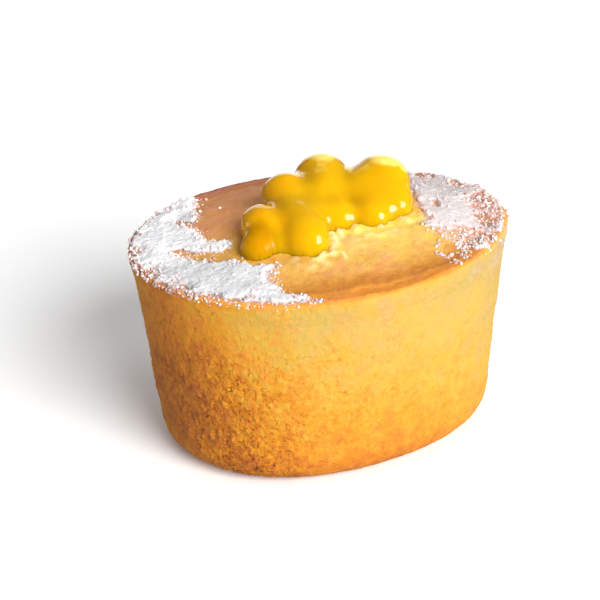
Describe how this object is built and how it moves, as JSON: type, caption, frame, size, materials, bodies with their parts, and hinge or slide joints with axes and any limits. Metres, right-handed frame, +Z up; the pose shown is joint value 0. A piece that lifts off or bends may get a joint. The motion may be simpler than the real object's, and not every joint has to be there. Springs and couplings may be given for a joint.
{
  "type": "friand",
  "caption": "Oval almond cake with a tapered golden wall and a low domed top, a piped cluster of yellow curd in the middle and icing sugar over both ends.",
  "frame": {"origin": "middle of the flat base of the cake", "axes": "+X along the long way of the oval, +Y across it towards the back, +Z up"},
  "size_m": [0.0793, 0.0634, 0.0578],
  "materials": {
    "cake_crust": "baked golden crumb, matt",
    "curd_gel": "set curd, glossy",
    "icing_sugar": "powder, matt"
  },
  "bodies": {
    "root": {"cake": "cake_crust", "curd": "curd_gel", "sugar_left": "icing_sugar", "sugar_right": "icing_sugar"}
  },
  "joints": []
}
